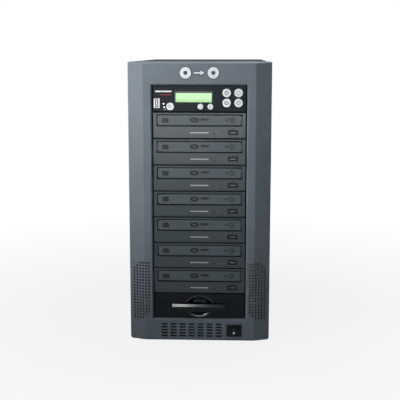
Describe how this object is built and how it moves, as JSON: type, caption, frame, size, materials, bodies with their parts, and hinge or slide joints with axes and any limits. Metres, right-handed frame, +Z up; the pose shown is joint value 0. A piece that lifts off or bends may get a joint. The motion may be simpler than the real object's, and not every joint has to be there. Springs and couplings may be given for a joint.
{
  "type": "cd dvd duplicator tower",
  "caption": "Upright disc duplicator tower: canted grey bezel, control panel with display and keys, stacked disc drives with sliding trays, removable disk rack with handle, and power rocker.",
  "frame": {"origin": "on the table plane, under the middle of the tower's bounding box", "axes": "+Z up, the front faces -Y, +X is to the right as seen from the front"},
  "size_m": [0.229, 0.448, 0.459],
  "materials": {
    "bezel_grey": "satin silver-grey moulded plastic",
    "case_paint": "fine grey powder coat",
    "bare_steel": "zinc-plated sheet steel",
    "foot_rubber": "matt black rubber",
    "panel_black": "charcoal moulded plastic",
    "key_white": "white moulded keys",
    "display_green": "backlit green display window",
    "board_green": "green solder mask",
    "lamp_lens": "clear light pipe",
    "plug_metal": "plated shell",
    "tongue_white": "white contact carrier",
    "drive_grey": "grey moulded plastic",
    "drive_dark": "dark moulded plastic",
    "switch_black": "black moulded plastic",
    "rack_black": "glossy black plastic",
    "rack_inner": "matt black plastic",
    "disk_alloy": "cast alloy drive body",
    "fan_black": "matt black plastic"
  },
  "bodies": {
    "tower": {"front_bezel": "bezel_grey", "outer_cover": "case_paint", "base_pan": "bare_steel", "rear_panel": "case_paint", "front_frame": "bare_steel", "bay_cage": "bare_steel", "rubber_feet": "foot_rubber", "cover_screws": "bare_steel", "control_panel": "panel_black", "control_box": "bare_steel", "display_board": "board_green", "controller_board": "board_green", "lcd_module": "drive_dark", "lcd_screen": "display_green", "usb_shell": "plug_metal", "usb_tongue": "tongue_white", "indicator_lights": "lamp_lens", "power_switch_frame": "switch_black", "drive_housings": "bare_steel", "drive_bezels": "drive_grey", "rack_frame": "rack_inner", "psu_case": "bare_steel", "power_inlet": "switch_black", "fan_frames": "fan_black"},
    "disc_tray_1": {"tray_1": "drive_dark", "tray_door_1": "drive_grey"},
    "disc_tray_2": {"tray_2": "drive_dark", "tray_door_2": "drive_grey"},
    "disc_tray_3": {"tray_3": "drive_dark", "tray_door_3": "drive_grey"},
    "disc_tray_4": {"tray_4": "drive_dark", "tray_door_4": "drive_grey"},
    "disc_tray_5": {"tray_5": "drive_dark", "tray_door_5": "drive_grey"},
    "disc_tray_6": {"tray_6": "drive_dark", "tray_door_6": "drive_grey"},
    "disc_tray_7": {"tray_7": "drive_dark", "tray_door_7": "drive_grey"},
    "eject_button_1": {"eject_button_1": "drive_dark"},
    "eject_button_2": {"eject_button_2": "drive_dark"},
    "eject_button_3": {"eject_button_3": "drive_dark"},
    "eject_button_4": {"eject_button_4": "drive_dark"},
    "eject_button_5": {"eject_button_5": "drive_dark"},
    "eject_button_6": {"eject_button_6": "drive_dark"},
    "eject_button_7": {"eject_button_7": "drive_dark"},
    "key_upper_left": {"key_upper_left": "key_white"},
    "key_upper_right": {"key_upper_right": "key_white"},
    "key_lower_left": {"key_lower_left": "key_white"},
    "key_lower_right": {"key_lower_right": "key_white"},
    "small_key_left": {"small_key_left": "key_white"},
    "small_key_right": {"small_key_right": "key_white"},
    "side_key": {"side_key": "key_white"},
    "power_rocker": {"power_rocker": "switch_black"},
    "rack_caddy": {"rack_caddy_front": "rack_black", "rack_caddy_tray": "rack_inner", "hard_disk": "disk_alloy", "handle_pin": "plug_metal"},
    "rack_handle": {"rack_handle": "rack_black"},
    "exhaust_fan": {"exhaust_fan_rotor": "fan_black"},
    "psu_fan": {"psu_fan_rotor": "fan_black"}
  },
  "joints": [
    {"name": "disc_tray_1_slide", "type": "slide", "parent": "tower", "child": "disc_tray_1", "axis": [0, -1, 0], "range_m": [0, 0.135]},
    {"name": "disc_tray_2_slide", "type": "slide", "parent": "tower", "child": "disc_tray_2", "axis": [0, -1, 0], "range_m": [0, 0.135]},
    {"name": "disc_tray_3_slide", "type": "slide", "parent": "tower", "child": "disc_tray_3", "axis": [0, -1, 0], "range_m": [0, 0.135]},
    {"name": "disc_tray_4_slide", "type": "slide", "parent": "tower", "child": "disc_tray_4", "axis": [0, -1, 0], "range_m": [0, 0.135]},
    {"name": "disc_tray_5_slide", "type": "slide", "parent": "tower", "child": "disc_tray_5", "axis": [0, -1, 0], "range_m": [0, 0.135]},
    {"name": "disc_tray_6_slide", "type": "slide", "parent": "tower", "child": "disc_tray_6", "axis": [0, -1, 0], "range_m": [0, 0.135]},
    {"name": "disc_tray_7_slide", "type": "slide", "parent": "tower", "child": "disc_tray_7", "axis": [0, -1, 0], "range_m": [0, 0.135]},
    {"name": "eject_button_1_press", "type": "slide", "parent": "tower", "child": "eject_button_1", "axis": [0, 1, 0], "range_m": [0, 0.0008], "stiffness_N_per_m": 800, "springref_m": -0.001},
    {"name": "eject_button_2_press", "type": "slide", "parent": "tower", "child": "eject_button_2", "axis": [0, 1, 0], "range_m": [0, 0.0008], "stiffness_N_per_m": 800, "springref_m": -0.001},
    {"name": "eject_button_3_press", "type": "slide", "parent": "tower", "child": "eject_button_3", "axis": [0, 1, 0], "range_m": [0, 0.0008], "stiffness_N_per_m": 800, "springref_m": -0.001},
    {"name": "eject_button_4_press", "type": "slide", "parent": "tower", "child": "eject_button_4", "axis": [0, 1, 0], "range_m": [0, 0.0008], "stiffness_N_per_m": 800, "springref_m": -0.001},
    {"name": "eject_button_5_press", "type": "slide", "parent": "tower", "child": "eject_button_5", "axis": [0, 1, 0], "range_m": [0, 0.0008], "stiffness_N_per_m": 800, "springref_m": -0.001},
    {"name": "eject_button_6_press", "type": "slide", "parent": "tower", "child": "eject_button_6", "axis": [0, 1, 0], "range_m": [0, 0.0008], "stiffness_N_per_m": 800, "springref_m": -0.001},
    {"name": "eject_button_7_press", "type": "slide", "parent": "tower", "child": "eject_button_7", "axis": [0, 1, 0], "range_m": [0, 0.0008], "stiffness_N_per_m": 800, "springref_m": -0.001},
    {"name": "key_upper_left_press", "type": "slide", "parent": "tower", "child": "key_upper_left", "axis": [0, 1, 0], "range_m": [0, 0.0008], "stiffness_N_per_m": 900, "springref_m": -0.001},
    {"name": "key_upper_right_press", "type": "slide", "parent": "tower", "child": "key_upper_right", "axis": [0, 1, 0], "range_m": [0, 0.0008], "stiffness_N_per_m": 900, "springref_m": -0.001},
    {"name": "key_lower_left_press", "type": "slide", "parent": "tower", "child": "key_lower_left", "axis": [0, 1, 0], "range_m": [0, 0.0008], "stiffness_N_per_m": 900, "springref_m": -0.001},
    {"name": "key_lower_right_press", "type": "slide", "parent": "tower", "child": "key_lower_right", "axis": [0, 1, 0], "range_m": [0, 0.0008], "stiffness_N_per_m": 900, "springref_m": -0.001},
    {"name": "small_key_left_press", "type": "slide", "parent": "tower", "child": "small_key_left", "axis": [0, 1, 0], "range_m": [0, 0.0008], "stiffness_N_per_m": 900, "springref_m": -0.001},
    {"name": "small_key_right_press", "type": "slide", "parent": "tower", "child": "small_key_right", "axis": [0, 1, 0], "range_m": [0, 0.0008], "stiffness_N_per_m": 900, "springref_m": -0.001},
    {"name": "side_key_press", "type": "slide", "parent": "tower", "child": "side_key", "axis": [0, 1, 0], "range_m": [0, 0.0008], "stiffness_N_per_m": 900, "springref_m": -0.001},
    {"name": "power_rocker_tilt", "type": "hinge", "parent": "tower", "child": "power_rocker", "pos_m": [0.0568, -0.217, 0.0219], "axis": [1, 0, 0], "range_deg": [0, 14]},
    {"name": "rack_caddy_slide", "type": "slide", "parent": "tower", "child": "rack_caddy", "axis": [0, -1, 0], "range_m": [0, 0.13]},
    {"name": "rack_handle_swing", "type": "hinge", "parent": "rack_caddy", "child": "rack_handle", "pos_m": [0, -0.2204, 0.06325], "axis": [-1, 0, 0], "range_deg": [0, 90]},
    {"name": "exhaust_fan_spin", "type": "hinge", "parent": "tower", "child": "exhaust_fan", "pos_m": [0, 0.2035, 0.25], "axis": [0, 1, 0], "continuous": true},
    {"name": "psu_fan_spin", "type": "hinge", "parent": "tower", "child": "psu_fan", "pos_m": [0.028, 0.2025, 0.048], "axis": [0, 1, 0], "continuous": true}
  ]
}
